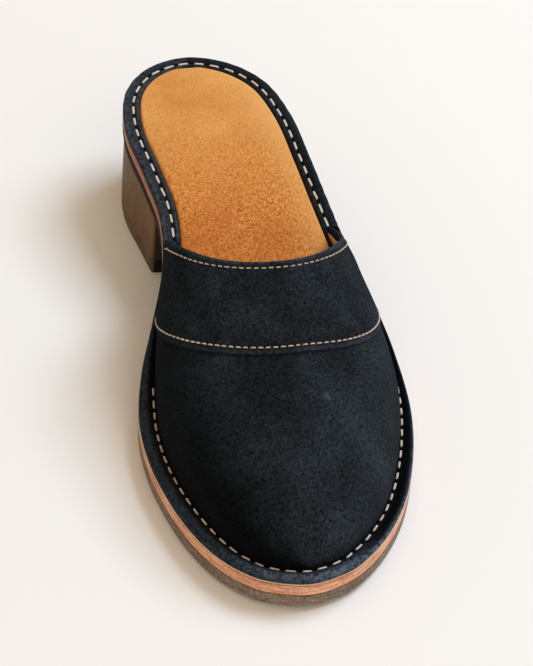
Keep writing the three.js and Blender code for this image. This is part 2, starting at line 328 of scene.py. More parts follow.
def outline_at(t):
    """Closed centripetal curve: cubic pieces whose slopes weigh chords by the root of their length."""
    place = (np.asarray(t, float) % 1.0) * len(control)
    first = np.floor(place).astype(int)
    w = (place - first)[..., None]
    p = [control[(first + k) % len(control)] for k in (-1, 0, 1, 2)]
    gap = [np.sqrt(np.linalg.norm(p[k + 1] - p[k], axis=-1))[..., None] for k in range(3)]
    chord = [(p[k + 1] - p[k]) / gap[k] for k in range(3)]
    leave = (chord[0] - (p[2] - p[0]) / (gap[0] + gap[1]) + chord[1]) * gap[1]
    reach_next = (chord[1] - (p[3] - p[1]) / (gap[1] + gap[2]) + chord[2]) * gap[1]
    a = 2 * p[1] - 2 * p[2] + leave + reach_next
    b = -3 * p[1] + 3 * p[2] - 2 * leave - reach_next
    return ((a * w + b) * w + leave) * w + p[1]


def inset_point(side, share, inset):
    """Point of the outline on one side, moved inwards along the normal. Returns u and v."""
    side, share, inset = np.broadcast_arrays(side, share, inset)
    t = by_side(side, share / 2, 1 - share / 2)
    step = 1e-4
    point = outline_at(t)
    tangent = unit(outline_at(t + step) - outline_at(t - step))
    return point[..., 0] + tangent[..., 1] * inset, point[..., 1] - tangent[..., 0] * inset


even = np.linspace(0, 1, 4001)
reached = {side: inset_point(side, even, 0.0)[0] for side in (OUTER, INNER)}


def share_at(side, u):
    """Share at which one side of the outline reaches a length along the sole."""
    return by_side(side, np.interp(u, reached[OUTER], even), np.interp(u, reached[INNER], even))


def shares_at(inner, outer=None):
    """Share on each side at its length along the sole, or at the same length."""
    return {INNER: float(share_at(INNER, inner)), OUTER: float(share_at(OUTER, outer or inner))}


widest = max(inset_point(OUTER, even, 0.0)[1])
narrowest = min(inset_point(INNER, even, 0.0)[1])
print("sole:", round(reached[OUTER][-1], 1), "x", round(widest - narrowest, 1), "mm")

# %% [markdown]
# ## Layers of the sole
# Every layer lies on the one below, so their heights are sums along the sole: heel height and toe spring
# first, then outsole, midsole, footbed and suede. The last helper here carries shoe sizes into the model's
# own frame, in metres, so a point worked out in the shoe lands where the solids are.

# %% Heights and frame


def sole_under(u):
    """Heel height times its rise, and toe spring times its share."""
    along = u / SOLE_LENGTH
    return HEEL_HEIGHT * column_at(PROFILE, 1, along) + TOE_SPRING * column_at(PROFILE, 2, along)


def outsole_top(u):
    full = column_at(PROFILE, 3, u / SOLE_LENGTH)
    return sole_under(u) + OUTSOLE_AT_SEAT + (OUTSOLE_AT_BALL - OUTSOLE_AT_SEAT) * full


def midsole_under(u):
    return outsole_top(u) + BOND


def midsole_top(u):
    return midsole_under(u) + MIDSOLE


def footbed(u):
    return midsole_top(u) + BOND


def flange_top(u):
    return footbed(u) + SUEDE


sole_low, sole_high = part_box("outsole")
u_shift = 1000 * sole_high.y + reached[OUTER][0]
v_shift = 1000 * (sole_low.x + sole_high.x) / 2 - (widest + narrowest) / 2


def in_frame(u, v, z):
    """Shoe sizes in millimetres to the model's frame in metres: the toe towards -Y, the outer side +X."""
    u, v, z = np.broadcast_arrays(u, v, z)
    return np.stack([v + v_shift, u_shift - u, z], axis=-1) / 1000


print("shift:", round(u_shift, 2), round(v_shift, 2), "mm")

# %% [markdown]
# ## Surfaces on a grid
# A piece is a grid of points, rows by columns, with a quad between each four neighbours. Two grids of the
# same size, one above the other, close to a solid when strips join their borders. Points that fall
# together, at the tip of the toe for example, are merged afterwards, and faces are turned outwards.

# %% Grid helpers


def quads(grid):
    """Faces between neighbouring entries of a grid of point numbers."""
    return np.stack([grid[:-1, :-1], grid[1:, :-1], grid[1:, 1:], grid[:-1, 1:]], axis=-1).reshape(-1, 4)


def ring_grid(rows, columns, close_rows=False, close_columns=False):
    """Point numbers of a grid, its first row or column repeated at the end where it closes on itself."""
    grid = np.arange(rows * columns).reshape(rows, columns)
    if close_rows:
        grid = np.vstack([grid, grid[:1]])
    if close_columns:
        grid = np.hstack([grid, grid[:, :1]])
    return grid


def skin(top, bottom, close_start=True, close_end=True):
    """Solid between two grids of points: both faces, both side borders, and the first and last rows."""
    rows, columns = top.shape[:2]
    loop = np.concatenate([top, bottom[:, ::-1]], axis=1)
    grid = ring_grid(rows, 2 * columns, close_columns=True)
    faces = [quads(grid)]
    for row, wanted in ((0, close_start), (rows - 1, close_end)):
        if wanted:
            line = grid[row, : 2 * columns]
            faces.append(quads(np.stack([line[:columns], line[columns:][::-1]])))
    return loop.reshape(-1, 3), np.concatenate(faces)


def on_face(**values):
    """Values painted on the outer face of a skin, each with 0 on its inner face."""
    return {key: np.concatenate([value, 0 * value], axis=1) for key, value in values.items()}


def make_piece(name, points, faces, finish, slot, painted_values=None, uv=None, replaces=()):
    """Object from points in metres and quads. Doubles are merged, faces turned outwards, and it rides."""
    mesh = bpy.data.meshes.new(name)
    mesh.vertices.add(len(points))
    mesh.vertices.foreach_set("co", np.ascontiguousarray(points, float).ravel())
    mesh.loops.add(faces.size)
    mesh.loops.foreach_set("vertex_index", faces.ravel())
    mesh.polygons.add(len(faces))
    mesh.polygons.foreach_set("loop_start", np.arange(0, faces.size, 4))
    mesh.update(calc_edges=True)
    for key, values in (painted_values or {}).items():
        layer = mesh.attributes.new(key, "FLOAT", "POINT")
        layer.data.foreach_set("value", np.ascontiguousarray(values, float).ravel())
    if uv is not None:
        layer = mesh.uv_layers.new(name="thread")
        layer.data.foreach_set("uv", uv[faces.ravel()].ravel())
    cleaned = bmesh.new()
    cleaned.from_mesh(mesh)
    bmesh.ops.remove_doubles(cleaned, verts=cleaned.verts, dist=2e-6)
    bmesh.ops.recalc_face_normals(cleaned, faces=cleaned.faces)
    open_edges = sum(1 for edge in cleaned.edges if len(edge.link_faces) != 2)
    cleaned.to_mesh(mesh)
    cleaned.free()
    mesh.polygons.foreach_set("use_smooth", np.ones(len(mesh.polygons), bool))
    mesh.materials.append(finish.material)
    piece = bpy.data.objects.new(name, mesh)
    bpy.context.collection.objects.link(piece)
    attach(piece, "root")
    if replaces:
        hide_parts(*replaces)
    print(name, len(mesh.polygons), "faces,", open_edges, "open edges")


# %% [markdown]
# ## Sole leather
# The edge of a leather sole is trimmed, stained and polished, so it is smooth along its length, with the
# layers of the hide as faint lines. The midsole is tan, the outsole and the stacked heel have a taupe stain
# in uneven streaks, and both edges carry painted shade towards the heel. The heel's breast carries painted
# shade too. The top lift, which takes the wear, is rubber, near-black where it faces forward and scuffed to
# the heel's colour elsewhere.

# %% Sole materials
tan_edge = Finish("tan_edge", 0.5, mirror=0.1, coat_weight=0.08)
layers = tan_edge.grain(1.0, 4, 0.6, stretch=(130, 130, 1500))
pores = tan_edge.grain(1100, 3, 0.6, stretch=(1, 1, 1.6))
colour = tan_edge.tint(layers, (208, 138, 104), (255, 202, 166), 0.36, 0.64)
colour = tan_edge.tint(pores, colour, (152, 90, 64), 0.5, 0.68, 0, 0.7)
colour = tan_edge.tint(tan_edge.grain(45, 3), colour, (176, 108, 80), 0.45, 0.75, 0, 0.4)
# Painted shade on the midsole's edge under the seat, towards a darker orange-brown.
colour = tan_edge.tint(tan_edge.product(tan_edge.painted("aft"), 0.85), colour, (146, 84, 48))
bumps = tan_edge.relief((layers, 0.00012, 0.5), (pores, 0.00015, 0.6))
tan_edge.dress(colour, tan_edge.spread(pores, 0.3, 0.7, 0.42, 0.62), bumps)

stained_edge = Finish("stained_edge", 0.62, mirror=0.08)
layers = stained_edge.grain(1.0, 4, 0.6, stretch=(130, 130, 1300))
fuzz = stained_edge.grain(1000, 3, 0.65)
colour = stained_edge.tint(fuzz, (104, 88, 76), (172, 154, 140), 0.3, 0.7)
colour = stained_edge.tint(layers, colour, (86, 70, 60), 0.45, 0.65, 0, 0.6)
colour = stained_edge.tint(stained_edge.grain(60, 3), colour, (96, 80, 68), 0.45, 0.7, 0, 0.4)
# Painted shade on the outsole's edge under the seat, nearly black.
colour = stained_edge.tint(stained_edge.product(stained_edge.painted("aft"), 0.97), colour, (20, 15, 12))
bumps = stained_edge.relief((layers, 0.0002, 0.5), (fuzz, 0.0002, 0.7))
stained_edge.dress(colour, stained_edge.spread(fuzz, 0.3, 0.7, 0.52, 0.78), bumps)

stain = Finish("taupe_stain", 0.5, mirror=0.15)
streaks = stain.grain(1.0, 5, 0.65, 0.4, stretch=(260, 260, 120))
colour = stain.tint(streaks, (86, 61, 37), (134, 101, 65), 0.34, 0.66)
colour = stain.tint(stain.grain(1.0, 3, stretch=(60, 60, 40)), colour, (78, 54, 34), 0.4, 0.7, 0, 0.5)
# Painted shade: the breast, facing forward under the waist, is darkened.
colour = stain.tint(stain.painted("breast"), colour, (58, 45, 34))
bumps = stain.relief((streaks, 0.0002, 0.4), (stain.grain(1300, 2), 0.00012, 0.5))
stain.dress(colour, stain.spread(streaks, 0.3, 0.7, 0.42, 0.66), bumps)

lift_rubber = Finish("lift_rubber", 0.6, mirror=0.2)
scuffs = lift_rubber.grain(1.0, 4, stretch=(300, 300, 60))
side = lift_rubber.tint(scuffs, (76, 60, 44), (112, 94, 72), 0.3, 0.7)
black = lift_rubber.tint(scuffs, (12, 9, 7), (24, 18, 14), 0.3, 0.7)
bumps = lift_rubber.relief((lift_rubber.grain(1500), 0.0001, 0.5))
lift_rubber.dress(lift_rubber.tint(lift_rubber.painted("breast"), side, black), None, bumps)

glue = Finish("glue_line", 0.7)
glue.dress(glue.tint(glue.grain(500, 2), (46, 27, 21), (86, 54, 42)))
print("materials for the sole")

# %% [markdown]
# ## Outsole and midsole
# Both are plates with the same outline. A ring of edge points, slightly rounded at its two corners, runs
# round the outline, and rungs across close it above and below. The edge has no hard corner, because a
# trimmed edge catches the light on its arris.

# %% Plates
PLATE_STATIONS = 300
plate_share = np.linspace(0, 1, PLATE_STATIONS)


def plate(inset, under, over, corner, bulge=0.12, rungs=14):
    """Plate between two heights. Its edge profile is a flat bulged side with a quarter round at each corner,
    and each face is a set of rungs from the inner to the outer side."""
    turn_in = np.linspace(0, np.pi / 2, 5)
    side_rise = np.linspace(0, 1, 7)[1:-1]
    profile = [(corner * (1 - np.sin(a)), 0.0, corner * (1 - np.cos(a))) for a in turn_in]
    profile += [(-bulge * np.sin(np.pi * t), t, corner * (1 - 2 * t)) for t in side_rise]
    profile += [(corner * (1 - np.sin(a)), 1.0, -corner * (1 - np.cos(a))) for a in turn_in[::-1]]
    edge = {}
    for side in (INNER, OUTER):
        columns = []
        for depth, share_up, extra in profile:
            u, v = inset_point(side, plate_share, inset + depth)
            z = under(u) + (over(u) - under(u)) * share_up + extra
            columns.append(in_frame(u, v, z))
        edge[side] = np.stack(columns, axis=1)
    across = np.linspace(0, 1, rungs)[None, 1:-1, None]
    bottom = blend(edge[INNER][:, :1], edge[OUTER][:, :1], across)
    top = blend(edge[OUTER][:, -1:], edge[INNER][:, -1:], across)
    loop = np.concatenate([edge[OUTER], top, edge[INNER][:, ::-1], bottom], axis=1)
    return loop.reshape(-1, 3), quads(ring_grid(*loop.shape[:2], close_columns=True))


def seat_shade_of(points):
    """Painted shade: 1 at the seat of the heel and 0 from the ball on, darkening the edge behind the waist.
    """
    return {"aft": 1 - ease_between(u_shift - 1000 * points[:, 1], 70, 150)}


for name, finish, slot, replaced, *heights_and_corner in (
    ("outsole_leather", stained_edge, "stained_leather", "outsole", sole_under, outsole_top, 0.7),
    ("midsole_leather", tan_edge, "tan_leather", "midsole", midsole_under, midsole_top, 0.45),
):
    points, faces = plate(0.0, *heights_and_corner)
    make_piece(name, points, faces, finish, slot, seat_shade_of(points), replaces=(replaced,))
glued = (("lower_glue_line", outsole_top, midsole_under), ("upper_glue_line", midsole_top, footbed))
for name, low, high in glued:
    points, faces = plate(0.45, lambda u: low(u) + 0.02, lambda u: high(u) - 0.02, 0.05, bulge=0)
    make_piece(name, points, faces, glue, "stained_leather")

# %% [markdown]
# ## Heel
# The heel is stacked leather with an upright front face, the breast. One closed loop follows the seat and
# crosses the breast. It is blurred a little along its length, which rounds the breast's two corners, and it
# is carried down with a slight flare.

# %% Heel block and top lift
HEEL_TOP_INSET = 0.6
HEEL_FLARE = 1.0
HEEL_CORNER = 0.4
BREAST_STATIONS = 61
ROUNDING_PASSES = 3
seat_end = shares_at(BREAST)


def seat_loop(inset, stations=150):
    """Closed loop in plan: outer side from the back, across the breast, and the inner side back again."""
    half = np.linspace(0, 1, stations)
    outer, inner = (np.stack(inset_point(side, half * seat_end[side], inset)) for side in (OUTER, INNER))
    cross = np.linspace(0, 1, BREAST_STATIONS + 2)[1:-1]
    breast = outer[:, -1:] + (inner[:, -1:] - outer[:, -1:]) * cross
    loop = np.concatenate([outer, breast, inner[:, :0:-1]], axis=1)
    for _ in range(ROUNDING_PASSES):
        loop = (np.roll(loop, 1, axis=1) + 2 * loop + np.roll(loop, -1, axis=1)) / 4
    front = np.zeros(loop.shape[1])
    front[stations : stations + BREAST_STATIONS] = 1
    return *loop, front


def heel_skin(levels):
    """Loft of seat loops. Each level is an inset and a height, which may follow the sole. A flat fan of
    shrunken loops closes the first and the last level."""
    rows, fronts = [], []
    shrink = [0.02, 0.3, 0.6, 0.85]
    middle = 40
    for k, (inset, height) in enumerate(levels):
        u, v, front = seat_loop(inset)
        closing = shrink + [1] if k == 0 else [1] + shrink[::-1] if k == len(levels) - 1 else [1]
        for share in closing:
            closed_u = middle + (u - middle) * share if share < 1 else u
            closed_v = (v - v.mean()) * share + v.mean() if share < 1 else v
            z = height(closed_u) if callable(height) else height
            rows.append(in_frame(closed_u, closed_v, z))
            fronts.append(front)
    grid = np.stack(rows)
    faces = quads(ring_grid(*grid.shape[:2], close_columns=True))
    for row in (0, len(rows) - 1):
        line = np.arange(grid.shape[1]) + row * grid.shape[1]
        half = len(line) // 2
        faces = np.concatenate([faces, quads(np.stack([line[:half], line[: -half - 1 : -1]]))])
    return grid.reshape(-1, 3), faces, np.stack(fronts).ravel()


def heel_height(drop):
    """Height that follows the sole at drop 0 and lies level on the lift at drop 1, inside both corners."""
    return lambda u: blend(sole_under(u) - BOND - HEEL_CORNER, LIFT + BOND + HEEL_CORNER, drop)


foot_inset = HEEL_TOP_INSET - HEEL_FLARE
heel_levels = [(HEEL_TOP_INSET + HEEL_CORNER, lambda u: sole_under(u) - BOND)]
heel_levels += [(HEEL_TOP_INSET - HEEL_FLARE * drop, heel_height(drop)) for drop in np.linspace(0, 1, 22)]
heel_levels += [(foot_inset + HEEL_CORNER, LIFT + BOND)]
lift_levels = [(foot_inset + HEEL_CORNER, LIFT)]
lift_levels += [(foot_inset, height) for height in np.linspace(LIFT - HEEL_CORNER, 0.6, 6)]
lift_levels += [(foot_inset + 0.25, 0.15), (foot_inset + 0.7, 0.0)]
for name, levels, finish, slot, replaced in (
    ("heel_stack", heel_levels, stain, "stained_leather", "heel_block"),
    ("heel_lift", lift_levels, lift_rubber, "dark_rubber", "top_lift"),
):
    points, faces, front = heel_skin(levels)
    make_piece(name, points, faces, finish, slot, {"breast": front}, replaces=(replaced,))

# %% [markdown]
# ## Suede and thread
# Suede is the flesh side of the hide, raised to a short nap. It is dull and very dark here, and its nap
# lies one way in one place and another way in the next, which shows as soft lighter patches. Where it is
# rubbed, along edges and round the toe, it turns greyer and a little shiny; the same greyer colour also
# stands as a painted highlight on rolled edges and in a few patches. Sheen gives the nap its pale rim, and
# two scales of noise give the nap itself. Each piece paints two values on its points: its wear with the
# painted highlight, and painted shade, near black in a stitched groove, between stitches, in creases and on
# the inner side of the wall.

# %% Suede, thread and lining
suede = Finish(
    "navy_suede", 0.95, mirror=0.0, sheen_weight=0.08, sheen_roughness=0.3, sheen_tint=(0.5, 0.6, 0.72, 1.0)
)
patches = suede.grain(45, 4, 0.55, 0.6, stretch=(1, 0.7, 1))
brushed = suede.grain(260, 3, 0.6, stretch=(1, 0.45, 1))
nap = suede.grain(950, 4, 0.75)
wear = suede.painted("wear")
dark = suede.tint(patches, (14, 15, 16), (24, 28, 32), 0.35, 0.7)
light = suede.tint(patches, (40, 45, 49), (60, 68, 76), 0.35, 0.7)
colour = suede.tint(nap, dark, light, 0.38, 0.66)
colour = suede.tint(brushed, colour, light, 0.5, 0.75, 0, 0.2)
rubbed_and_lit = suede.product(wear, suede.spread(suede.grain(620, 3, 0.7), 0.38, 0.62, 0.1, 1.25))
# Wear with painted highlight: lighter blue-grey where rubbed and on lit rolls, edges and patches.
colour = suede.tint(rubbed_and_lit, colour, (98, 111, 127))
# Painted shade: the suede goes towards near black where the piece paints it.
colour = suede.tint(suede.painted("deep"), colour, (6, 7, 8))
bumps = suede.relief((brushed, 0.0004, 0.5), (nap, 0.0006, 1.0))
suede.dress(colour, suede.spread(wear, 0, 1, 0.95, 0.75), bumps)

thread = Finish("waxed_thread", 0.6, sheen_weight=0.15)
along_thread = thread.add("ShaderNodeUVMap", {}).outputs[0]
turns = {"Vector": along_thread, "Scale": 1.1}
turns = thread.add("ShaderNodeTexWave", turns, bands_direction="DIAGONAL").outputs["Fac"]
colour = thread.tint(thread.grain(300, 3), (255, 240, 218), (240, 208, 178), 0.35, 0.7)
# Painted shade: the stitches of the collar and the band are darkened towards a dull brown.
colour = thread.tint(thread.painted("worn"), colour, (128, 104, 80))
colour = thread.tint(turns, colour, (120, 92, 68), 0.0, 0.5, 0.35, 0.0)
thread.dress(colour, None, thread.relief((turns, 0.0002, 0.6)))

lining = Finish("lining_leather", 0.6)
colour = lining.tint(lining.grain(60, 3), (196, 142, 84), (222, 172, 112))
lining.dress(colour, None, lining.relief((lining.grain(700, 3), 0.0002, 0.5)))

cream = Finish("cream_edge", 0.65)
fibres = cream.grain(1.0, 3, stretch=(200, 200, 1500))
cream.dress(cream.tint(fibres, (222, 190, 158), (250, 226, 196)), None, cream.relief((fibres, 0.0001, 0.5)))
print("materials for the upper")

# %% [markdown]
# ## Footbed leather
# The footbed is orange-tan leather. It is smooth and a little lighter at its rim and under the heel, and
# worn rough and darker towards the front, where the fibres stand up. Three painted values say where: the
# rough part, the front that is darkest from walking, and the pressed rim.

# %% Footbed material
tan_hide = Finish("tan_footbed", 0.6, mirror=0.3)
rough = tan_hide.painted("rough")
cloudy = tan_hide.grain(38, 4, 0.6)
speckle = tan_hide.grain(1500, 4, 0.75, stretch=(1, 0.8, 1))
fibres = tan_hide.grain(1150, 4, 0.75, 0.4, stretch=(1, 0.75, 1))
smooth_colour = tan_hide.tint(cloudy, (216, 138, 60), (246, 178, 94), 0.3, 0.72)
rough_colour = tan_hide.tint(fibres, (170, 84, 20), (254, 174, 84), 0.38, 0.6)
rough_colour = tan_hide.tint(cloudy, rough_colour, (196, 102, 30), 0.4, 0.7, 0, 0.4)
colour = tan_hide.tint(rough, smooth_colour, rough_colour)
walked_on = tan_hide.product(tan_hide.painted("walked"), tan_hide.spread(cloudy, 0.3, 0.6, 0.2, 0.6))
colour = tan_hide.tint(walked_on, colour, (190, 96, 28))
flecked = tan_hide.spread(rough, 0, 1, 0.45, 0.95)
dark_specks = tan_hide.product(tan_hide.spread(speckle, 0.55, 0.63), flecked)
colour = tan_hide.tint(dark_specks, colour, (142, 70, 18))
colour = tan_hide.tint(tan_hide.painted("pressed"), colour, (248, 188, 112), 0, 1, 0, 0.6)
bumps = tan_hide.relief((fibres, 0.0006, 0.45), (speckle, 0.0004, 0.7))
tan_hide.dress(colour, tan_hide.spread(rough, 0, 1, 0.5, 0.85), bumps)
print("material for the footbed")

# %% [markdown]
# ## Edge of the upper over the footbed
# The upper is an arch carried along the sole. Each cross-section is half an ellipse made squarer or
# slacker by its fullness, and its two feet stand a little inside the outline, which leaves the flange. In
# front of the last section the arch sinks to the tip along a rounded nose. The same function gives the
# suede, the lining and the band over the instep, each at its own distance from the suede's face.

# %% Arch


def flange_width(side, share):
    """The flange's width at a share, read from the inner or the outer column."""
    along = inset_point(side, share, 0.0)[0] / SOLE_LENGTH
    inner, outer = (column_at(FLANGE_SHARE, column, along) for column in (1, 2))
    return FLANGE * by_side(side, outer, inner)


def fullness_at(side, along):
    inner, outer = (column_at(ARCH, column, along) for column in (3, 4))
    return by_side(side, outer, inner)


TIP = float(inset_point(OUTER, 1.0, flange_width(OUTER, np.array(1.0)))[0])


def arch_point(side, share, angle, offset, base):
    """Point of the arch. The ridge divides the line between the feet; away from it the width goes as a
    cosine and the height as a sine, both to the power two over the fullness."""
    feet = {}
    for each in (INNER, OUTER):
        feet[each] = inset_point(each, share, flange_width(each, share) - offset)
    along = (feet[INNER][0] + feet[OUTER][0]) / 2 / SOLE_LENGTH
    ridge_share = column_at(ARCH, 2, along)
    ridge = [blend(feet[INNER][k], feet[OUTER][k], ridge_share) for k in (0, 1)]
    into_nose = np.clip((ridge[0] - (TIP + offset) + NOSE_LENGTH) / NOSE_LENGTH, 0, 1)
    nose = (1 - into_nose**NOSE_FULLNESS) ** (1 / NOSE_FULLNESS)
    height = (INSTEP * column_at(ARCH, 1, along) + offset) * nose
    power = 2 / fullness_at(side, along)
    rise = np.sin(angle) ** power
    out = np.clip(np.cos(angle), 0, 1) ** power
    u, v = (blend(ridge[k], by_side(side, feet[OUTER][k], feet[INNER][k]), out) for k in (0, 1))
    return u, v, base(u) + height * rise


def cut_at(side, angle, cut):
    """Length along the sole of a slanted cut over the arch, from its foot up to the ridge."""
    foot, skew, ridge, inner_sweep, outer_sweep = cut
    corner = by_side(side, foot + skew, foot)
    rise = np.sin(angle) ** (2 / fullness_at(side, corner / SOLE_LENGTH))
    sweep = by_side(side, outer_sweep, inner_sweep)
    return corner + (ridge - corner) * (rise + sweep * (rise**3 - rise))


COLLAR = (96.6, 0.6, 147.4, 0.22, -0.04)  # foot, skew, ridge, inner sweep, outer sweep
BAND_FRONT = (130.0, -1.0, 184.7, 0.12, -0.3)

arch_steps = np.linspace(0, 1, 66)
quarter = np.pi / 2 * arch_steps**1.15
arch_side = np.repeat([INNER, OUTER], [len(quarter), len(quarter) - 1])
arch_angle = np.concatenate([quarter, quarter[-2::-1]])
collar_u = cut_at(arch_side, arch_angle, COLLAR)
band_u = cut_at(arch_side, arch_angle, BAND_FRONT)


def across_cut(cut_u):
    """How much further a step along the sole goes than the same step square to the cut's own line."""
    share = share_at(arch_side, cut_u)
    line = np.stack(arch_point(arch_side, share, arch_angle, 0.0, flange_top), axis=-1)
    ahead = np.stack(arch_point(arch_side, share + 1e-3, arch_angle, 0.0, flange_top), axis=-1) - line
    along_line = np.gradient(line, axis=0)
    turned = np.linalg.norm(np.cross(along_line, ahead), axis=-1)
    sine = turned / (np.linalg.norm(along_line, axis=-1) * np.linalg.norm(ahead, axis=-1))
    return 1 / np.clip(sine, 0.45, 1)


collar_stretch, band_stretch = across_cut(collar_u), across_cut(band_u)
print("collar from", round(collar_u.min(), 1), "to", round(collar_u.max(), 1), "mm along the sole")

# %% [markdown]
# ## Suede upper
# The upper is cut in one piece with its flange. The flange is lasted outwards: it rolls over at its edge,
# swells to a low bead, is pulled down by the stitches, and turns up into the wall through a tight crease.
# The wall above it is smooth, with the soft troughs that walking leaves where the toes bend. Each trough is
# listed: where it lies, how long and wide it is, and how deep.

# %% Upper
UPPER_ROWS = 250
SUEDE_SKIN = 0.9
CREAM = 0.8
STITCH_SHARE = 0.85
COLLAR_SETBACK = 1.4
FLANGE_PITCH = 5.6
EDGE_RADIUS = 0.8

TROUGHS = np.array([  # u, v, half length across, half width along, skew, depth
    (198, -6, 26, 3.5, 0.15, 0.5), (207, 8, 22, 3.0, -0.1, 0.4), (190, 20, 16, 3.5, -0.35, 0.45),
    (189, -28, 14, 4.0, 0.5, 0.5), (216, -14, 14, 3.5, 0.3, 0.3), (226, 10, 22, 6.0, -0.1, -0.35),
    (170, 0, 30, 5.0, 0.05, -0.25), (160, 14, 18, 4.0, -0.2, 0.35), (166, -18, 18, 4.5, 0.3, 0.4),
])


def worn_in(u, v):
    """Sum of long low bells, each across the shoe and turned by its skew; a negative depth is a ridge."""
    depth = np.zeros_like(u)
    for at_u, at_v, length, width, skew, deep in TROUGHS:
        along = u - at_u - skew * (v - at_v)
        depth -= deep * np.exp(-((along / width) ** 2) - ((v - at_v) / length) ** 2)
    return depth


def stitch_pull(arc, pitch):
    """1 in the middle of each stitch and 0 between two: a raised cosine along the row."""
    return 0.5 + 0.5 * np.cos(2 * np.pi * arc / pitch)


def edge_round(depth, radius):
    """How far a quarter round lies under the flat at a depth from the edge."""
    near = np.clip((radius - depth) / radius, 0, 1)
    return -radius * (1 - np.sqrt(np.clip(1 - near**2, 0, 1)))


def crease_radius(width):
    return np.minimum(0.8, 0.3 * width)


def flange_relief(depth, width, seam, pulled):
    """Height over the flange at a depth from its edge: quarter round, roll with a fine line near its edge,
    stitched groove, and the crease at the foot of the wall."""
    roll = np.sin(np.pi * np.clip((depth - 0.5) / (seam - 0.5), 0, 1)) ** 0.8
    height = edge_round(depth, EDGE_RADIUS) + 1.05 * roll * np.clip(seam / 5, 0, 1)
    height -= 0.24 * bell(depth, 1.25, 0.3)
    height -= (0.45 + 0.3 * pulled) * bell(depth, seam, 0.8)
    return height - edge_round(width - depth, crease_radius(width))


collar_setback = COLLAR_SETBACK * collar_stretch * ease_between(arch_angle, 0.0, 0.3)
upper_start = share_at(arch_side, collar_u + collar_setback)
flange_steps = np.concatenate([np.linspace(0, 0.3, 12)[:-1], np.linspace(0.3, 1, 20)])
upper_rows = np.linspace(0, 1, UPPER_ROWS)[:, None]


def seam_arc(side, share):
    """Length along the flange's stitch line, from its inner end round the toe to its outer end."""
    half = np.linspace(0, 1, 3000)
    arcs = []
    for each in (INNER, OUTER):
        seam = inset_point(each, half, STITCH_SHARE * flange_width(each, half))
        arcs.append(arc_along(np.stack(seam, axis=-1)))
    inner = np.interp(share, half, arcs[0])
    outer = arcs[0][-1] + arcs[1][-1] - np.interp(share, half, arcs[1])
    return by_side(side, outer, inner)


def upper_grid(under):
    """Rows from the collar to the toe; columns over the inner flange, the arch and the outer flange. The
    under side lies one skin lower and carries no relief."""
    lift = -SUEDE_SKIN if under else 0.0
    share = upper_start + (1 - upper_start) * upper_rows
    u, v, z = arch_point(arch_side, share, arch_angle, lift, flange_top)
    if under:
        z = np.maximum(z, footbed(u) + CREAM)
    else:
        u, v, z = arch_point(arch_side, share, arch_angle, lift + worn_in(u, v), flange_top)
        fillet = crease_radius(flange_width(arch_side, share))
        z = z + fillet * np.clip(1 - (z - flange_top(u)) / np.maximum(fillet, 1e-6), 0, 1) * 0.5
    arch = in_frame(u, v, z)
    wings = {}
    for side, column in ((INNER, 0), (OUTER, -1)):
        side_share = share[:, column : column + 1 if column == 0 else None]
        width = flange_width(side, side_share)
        depth = width * flange_steps[None, :]
        fu, fv = inset_point(side, side_share, depth + (0.15 if under else 0))
        if under:
            fz = footbed(fu) + CREAM
        else:
            pulled = stitch_pull(seam_arc(side, side_share), FLANGE_PITCH)
            fz = flange_top(fu) + flange_relief(depth, width, STITCH_SHARE * width, pulled)
        wings[side] = in_frame(fu, fv, fz)[:, :-1]
    grid = np.concatenate([wings[INNER], arch, wings[OUTER][:, ::-1]], axis=1)
    return grid if under else (grid, on_face(wear=wear_and_highlight_of_upper(share, u, v), deep=painted_shade_of_upper(share)))


# A scuff and lighter patches; the two low on the outer wall, at u 213 and 222, are a painted highlight.
SCUFFS_AND_HIGHLIGHTS = np.array([  # u, v, radius, strength
    (201.5, 13.9, 1.3, 0.6), (176, -24, 9, 0.08), (213, 27, 13, 0.07), (174, 20, 8, 0.05),
    (226, -2, 14, 0.04), (222, 31, 9, 0.12),
])


def wear_and_highlight_of_upper(share, u, v):
    """Wear with painted highlight: most on the flange's roll round the toe, less along the outer side, and
    in a few patches.
    """
    toe = ease_between(share[:, :1], 0.78, 0.94)
    crest = bell(flange_steps[:-1], 0.3, 0.18)
    edge = bell(flange_steps[:-1], 0.04, 0.08 + 0.14 * toe)
    inner = crest * (0.18 + 0.4 * toe) + 0.2 * edge
    outer = crest * (0.02 + 0.54 * toe**2) + edge * (0.6 + 0.15 * np.sin(np.pi * toe))
    patches = sum(
        strength * np.exp(-((u - at_u) ** 2 + (v - at_v) ** 2) / radius**2)
        for at_u, at_v, radius, strength in SCUFFS_AND_HIGHLIGHTS
    )
    return np.concatenate([inner, patches, outer[:, ::-1]], axis=1)


def painted_wall_shade(side, angle, inner_shade):
    """Painted shade on the wall: most on its inner side, a little low on its outer side, and along its foot.
    """
    outer = 0.2 * (1 - ease_between(angle, 0.1, 0.6))
    inner = inner_shade * (1 - ease_between(angle, 0.25, 1.35))
    return np.maximum(by_side(side, outer, inner), 0.7 * bell(angle, 0, 0.12))


